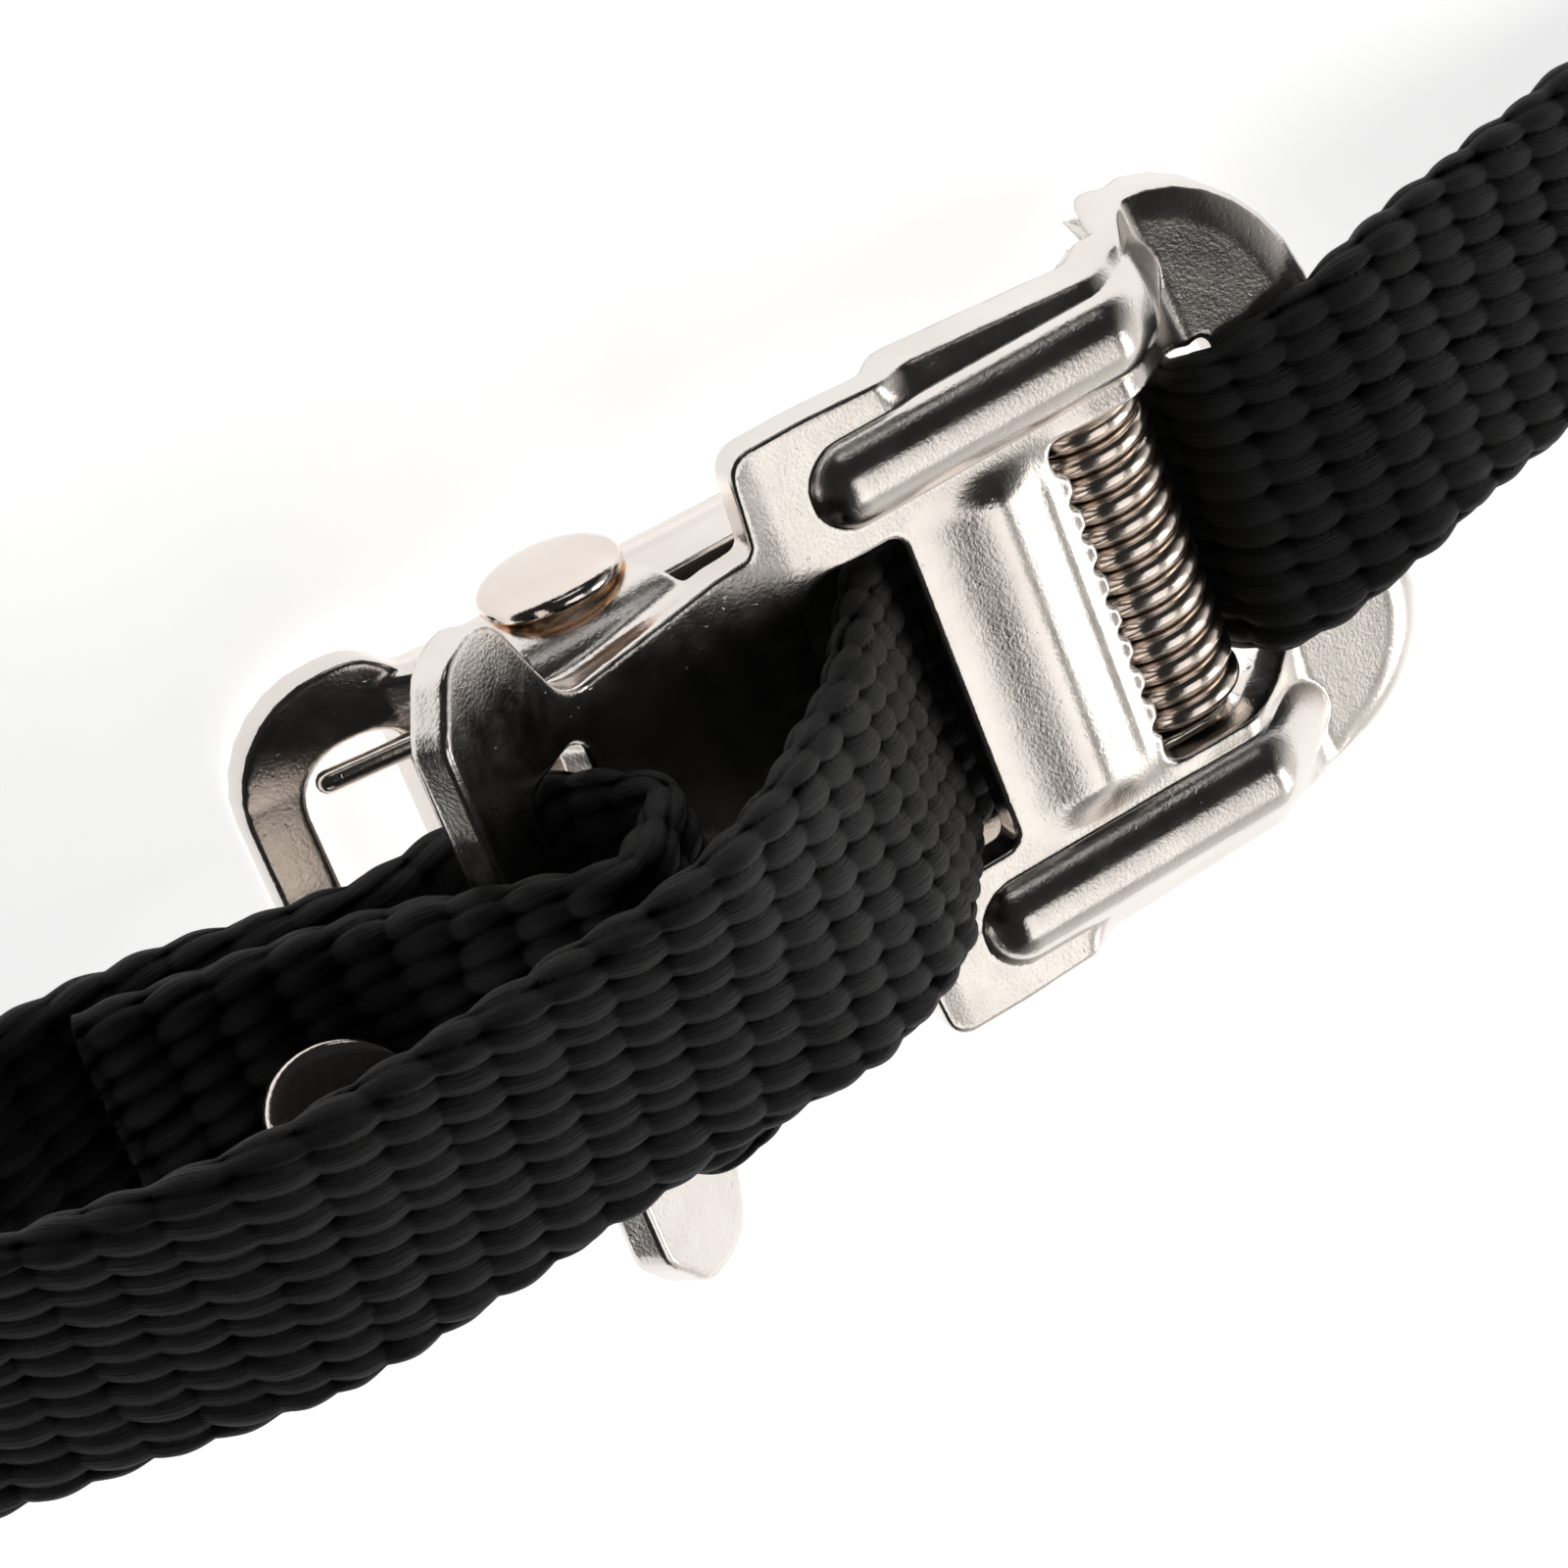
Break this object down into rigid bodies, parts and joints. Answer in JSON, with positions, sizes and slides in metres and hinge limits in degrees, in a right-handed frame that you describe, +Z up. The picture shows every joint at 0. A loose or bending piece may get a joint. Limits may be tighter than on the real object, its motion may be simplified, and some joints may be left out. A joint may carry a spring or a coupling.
{
  "type": "spring clamp strap buckle slider",
  "caption": "Nickel-plated strap buckle slider with a sprung clamp lever, finger ring and coil roller, on two black webbing straps.",
  "frame": {"origin": "middle of the base of the whole part's box", "axes": "+X along the strap from the fixed strap towards the end loop, +Y across the strap, +Z up"},
  "size_m": [0.0788, 0.0208, 0.0188],
  "materials": {
    "nickel_plate": "polished",
    "spring_wire": "polished",
    "black_webbing": "woven",
    "rivet_metal": "polished"
  },
  "bodies": {
    "frame": {"top_plate": "nickel_plate", "hinge_pin": "nickel_plate", "torsion_spring": "spring_wire", "running_strap": "black_webbing", "fixed_strap": "black_webbing", "strap_rivet": "rivet_metal", "strap_rivet_washer": "rivet_metal"},
    "lever": {"clamp_lever": "nickel_plate", "roller_pin": "nickel_plate"},
    "roller": {"coil_roller": "spring_wire"}
  },
  "joints": [
    {"name": "lever_hinge", "type": "hinge", "parent": "frame", "child": "lever", "pos_m": [-0.00711, 0, 0.00509], "axis": [0, 1, 0], "range_deg": [0, 12], "stiffness_Nm_per_rad": 0.05, "springref_deg": -22.92, "deforming": ["running_strap", "torsion_spring"]},
    {"name": "roller_spin", "type": "hinge", "parent": "lever", "child": "roller", "pos_m": [0.00889, 0, 0.00553], "axis": [0, 1, 0], "continuous": true}
  ]
}
